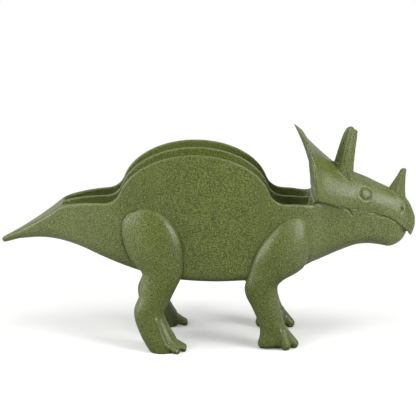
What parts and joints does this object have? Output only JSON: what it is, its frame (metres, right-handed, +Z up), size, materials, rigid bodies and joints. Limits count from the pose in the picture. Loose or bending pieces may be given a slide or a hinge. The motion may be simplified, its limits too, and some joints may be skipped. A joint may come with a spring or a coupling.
{
  "type": "taco holder",
  "caption": "Moulded plastic taco holder shaped as a standing horned dinosaur, with open troughs for filled taco shells along its back between raised side walls",
  "frame": {"origin": "on the floor below the middle of the length and width, level with the soles of the feet", "axes": "+X towards the beak, +Y towards the animal's left side, +Z up"},
  "size_m": [0.2809, 0.0798, 0.1495],
  "materials": {
    "body_plastic": "fine moulded grain, matte olive green"
  },
  "bodies": {
    "root": {"taco_holder": "body_plastic"}
  },
  "joints": []
}
